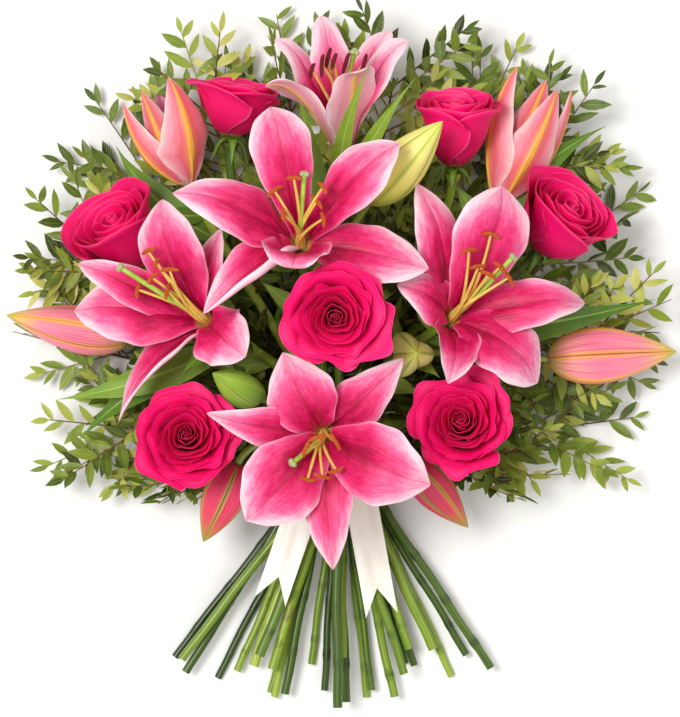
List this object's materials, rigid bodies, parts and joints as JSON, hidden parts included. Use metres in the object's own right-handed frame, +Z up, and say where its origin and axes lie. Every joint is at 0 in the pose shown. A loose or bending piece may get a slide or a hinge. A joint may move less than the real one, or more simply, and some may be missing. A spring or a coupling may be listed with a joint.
{
  "type": "mixed flower bouquet",
  "caption": "Hand-tied bouquet of pink lilies, crimson roses, lily buds and fine greenery, bound with cream ribbon above fanned cut stems and lying on its flat back.",
  "frame": {"origin": "middle of the bouquet's footprint, on the surface it lies on", "axes": "+Z up, the way the blooms face; +Y from the cut stems towards the blooms; +X to the right seen from above"},
  "size_m": [0.48, 0.5062, 0.19],
  "materials": {
    "lily_petal": "soft, slightly waxy",
    "rose_petal": "velvety",
    "stamen": "powdery",
    "bud_pink": "soft, slightly waxy",
    "bud_green": "soft, slightly waxy",
    "stem": "fresh and smooth",
    "leaf": "satin",
    "ribbon": "satin"
  },
  "bodies": {
    "root": {"bud_green": "bud_green", "bud_left": "bud_pink", "bud_lower_left": "bud_pink", "bud_lower_right": "bud_pink", "bud_right": "bud_pink", "bud_small": "bud_green", "bud_upper": "bud_green", "lily_bottom": "lily_petal", "lily_bottom_stamens": "stamen", "lily_centre": "lily_petal", "lily_centre_stamens": "stamen", "lily_left": "lily_petal", "lily_left_stamens": "stamen", "lily_right": "lily_petal", "lily_right_stamens": "stamen", "lily_top": "lily_petal", "lily_top_stamens": "stamen", "opening_bud_left": "bud_pink", "opening_bud_right": "bud_pink", "ribbon_band": "ribbon", "ribbon_tails": "ribbon", "rose_centre": "rose_petal", "rose_left": "rose_petal", "rose_lower_left": "rose_petal", "rose_lower_right": "rose_petal", "rose_right": "rose_petal", "rose_top_left": "rose_petal", "rose_top_right": "rose_petal", "spray_01": "leaf", "spray_02": "leaf", "spray_03": "leaf", "spray_04": "leaf", "spray_05": "leaf", "spray_06": "leaf", "spray_07": "leaf", "spray_08": "leaf", "spray_09": "leaf", "spray_10": "leaf", "spray_11": "leaf", "spray_12": "leaf", "spray_13": "leaf", "spray_14": "leaf", "stem_lily_bottom": "stem", "stem_lily_centre": "stem", "stem_lily_left": "stem", "stem_lily_right": "stem", "stem_lily_top": "stem", "stem_opening_left": "stem", "stem_opening_right": "stem", "stem_rose_centre": "stem", "stem_rose_left": "stem", "stem_rose_lower_left": "stem", "stem_rose_lower_right": "stem", "stem_rose_right": "stem", "stem_rose_top_left": "stem", "stem_rose_top_right": "stem"}
  },
  "joints": []
}
